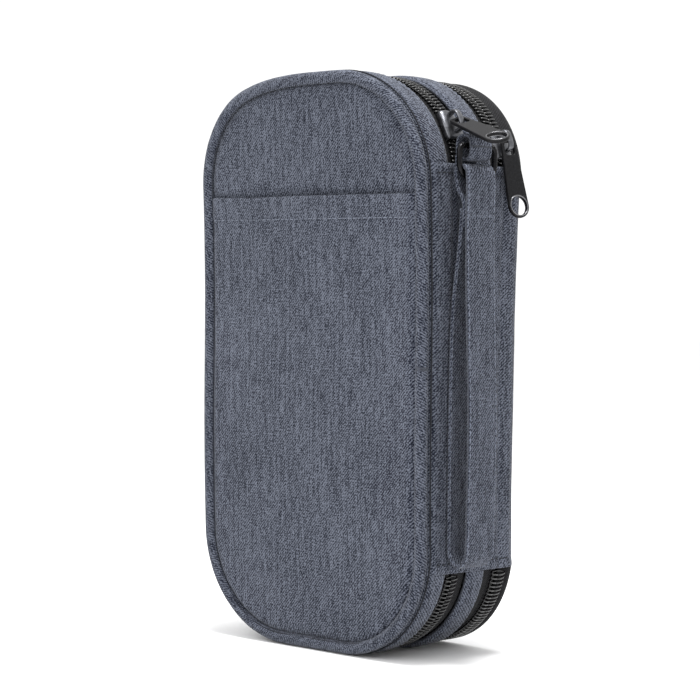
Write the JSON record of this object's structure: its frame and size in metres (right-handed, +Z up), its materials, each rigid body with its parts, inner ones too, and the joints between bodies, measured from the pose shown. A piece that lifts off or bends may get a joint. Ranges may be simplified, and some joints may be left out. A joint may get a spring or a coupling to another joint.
{
  "type": "passport holder wallet",
  "caption": "Upright travel wallet with two zipped compartments that fold open like a book, an outer slip pocket, sliding zip pulls and a wrist strap on a D-ring.",
  "frame": {"origin": "centre of the middle section's flat bottom face, under the divider, on the surface that the wallet stands on", "axes": "+Z up along the wallet's height, +X towards the spine with its wrist strap, -Y towards the front cover"},
  "size_m": [0.1628, 0.0565, 0.25],
  "materials": {
    "shell_cloth": "heathered blue-grey woven polyester",
    "piping_cloth": "the shell cloth cut on the bias round a cord",
    "strap_cloth": "the shell cloth folded and edge stitched",
    "lining_cloth": "smooth dark grey polyester lining",
    "pocket_cloth": "dark grey polyester",
    "mesh_cloth": "black mesh",
    "stiffener": "fibre board inside the lining",
    "zip_tape": "black woven zip tape",
    "zip_coil": "black nylon coil",
    "slider_metal": "glossy black nickel",
    "black_metal": "glossy black"
  },
  "bodies": {
    "middle_section": {"middle_gusset": "shell_cloth", "spine_panel": "shell_cloth", "spine_board": "stiffener", "divider_board": "lining_cloth", "card_slot_1": "pocket_cloth", "card_slot_2": "pocket_cloth", "card_slot_3": "pocket_cloth", "document_pocket": "pocket_cloth", "ring_tab": "strap_cloth", "front_zip_tape_middle": "zip_tape", "front_zip_coil_middle": "zip_coil", "front_zip_tape_end": "zip_tape", "front_zip_coil_end": "zip_coil", "back_zip_tape_middle": "zip_tape", "back_zip_coil_middle": "zip_coil", "back_zip_tape_end": "zip_tape", "back_zip_coil_end": "zip_coil"},
    "front_cover": {"front_panel": "shell_cloth", "front_pocket": "shell_cloth", "front_board": "stiffener", "front_lining": "lining_cloth", "front_gusset": "shell_cloth", "passport_pocket_lower": "pocket_cloth", "passport_pocket_upper": "pocket_cloth", "front_piping": "piping_cloth", "front_zip_tape_cover": "zip_tape", "front_zip_coil_cover": "zip_coil"},
    "back_cover": {"back_panel": "shell_cloth", "back_board": "stiffener", "back_lining": "lining_cloth", "mesh_pocket": "mesh_cloth", "back_zip_tape_cover": "zip_tape", "back_zip_coil_cover": "zip_coil"},
    "front_slider": {"front_slider": "slider_metal", "front_bridge": "slider_metal"},
    "back_slider": {"back_slider": "slider_metal", "back_bridge": "slider_metal"},
    "front_puller": {"front_puller": "black_metal"},
    "back_puller": {"back_puller": "black_metal"},
    "d_ring": {"d_ring": "black_metal"},
    "wrist_strap": {"wrist_strap": "strap_cloth"}
  },
  "joints": [
    {"name": "front_cover_fold", "type": "hinge", "parent": "middle_section", "child": "front_cover", "pos_m": [0.067, -0.0283, 0.125], "axis": [0, 0, 1], "range_deg": [0, 140]},
    {"name": "back_cover_fold", "type": "hinge", "parent": "middle_section", "child": "back_cover", "pos_m": [0.067, 0.0198, 0.125], "axis": [0, 0, 1], "range_deg": [-140, 0]},
    {"name": "front_slider_travel", "type": "hinge", "parent": "middle_section", "child": "front_slider", "pos_m": [0.019, -0.012, 0.202], "axis": [0, 1, 0], "range_deg": [-50, 0]},
    {"name": "back_slider_travel", "type": "hinge", "parent": "middle_section", "child": "back_slider", "pos_m": [0.019, 0.012, 0.202], "axis": [0, -1, 0], "range_deg": [0, 58]},
    {"name": "front_puller_swing", "type": "hinge", "parent": "front_slider", "child": "front_puller", "pos_m": [0.06323, -0.012, 0.22858], "axis": [0, -1, 0], "range_deg": [0, 120]},
    {"name": "back_puller_swing", "type": "hinge", "parent": "back_slider", "child": "back_puller", "pos_m": [0.06684, 0.012, 0.22133], "axis": [0, -1, 0], "range_deg": [-6, 150]},
    {"name": "ring_swing", "type": "hinge", "parent": "middle_section", "child": "d_ring", "pos_m": [0.0726, -0.0118, 0.2173], "axis": [0, -1, 0], "range_deg": [0, 60]},
    {"name": "strap_swing", "type": "hinge", "parent": "d_ring", "child": "wrist_strap", "pos_m": [0.0726, -0.0118, 0.2055], "axis": [0, -1, 0], "range_deg": [0, 100]}
  ]
}
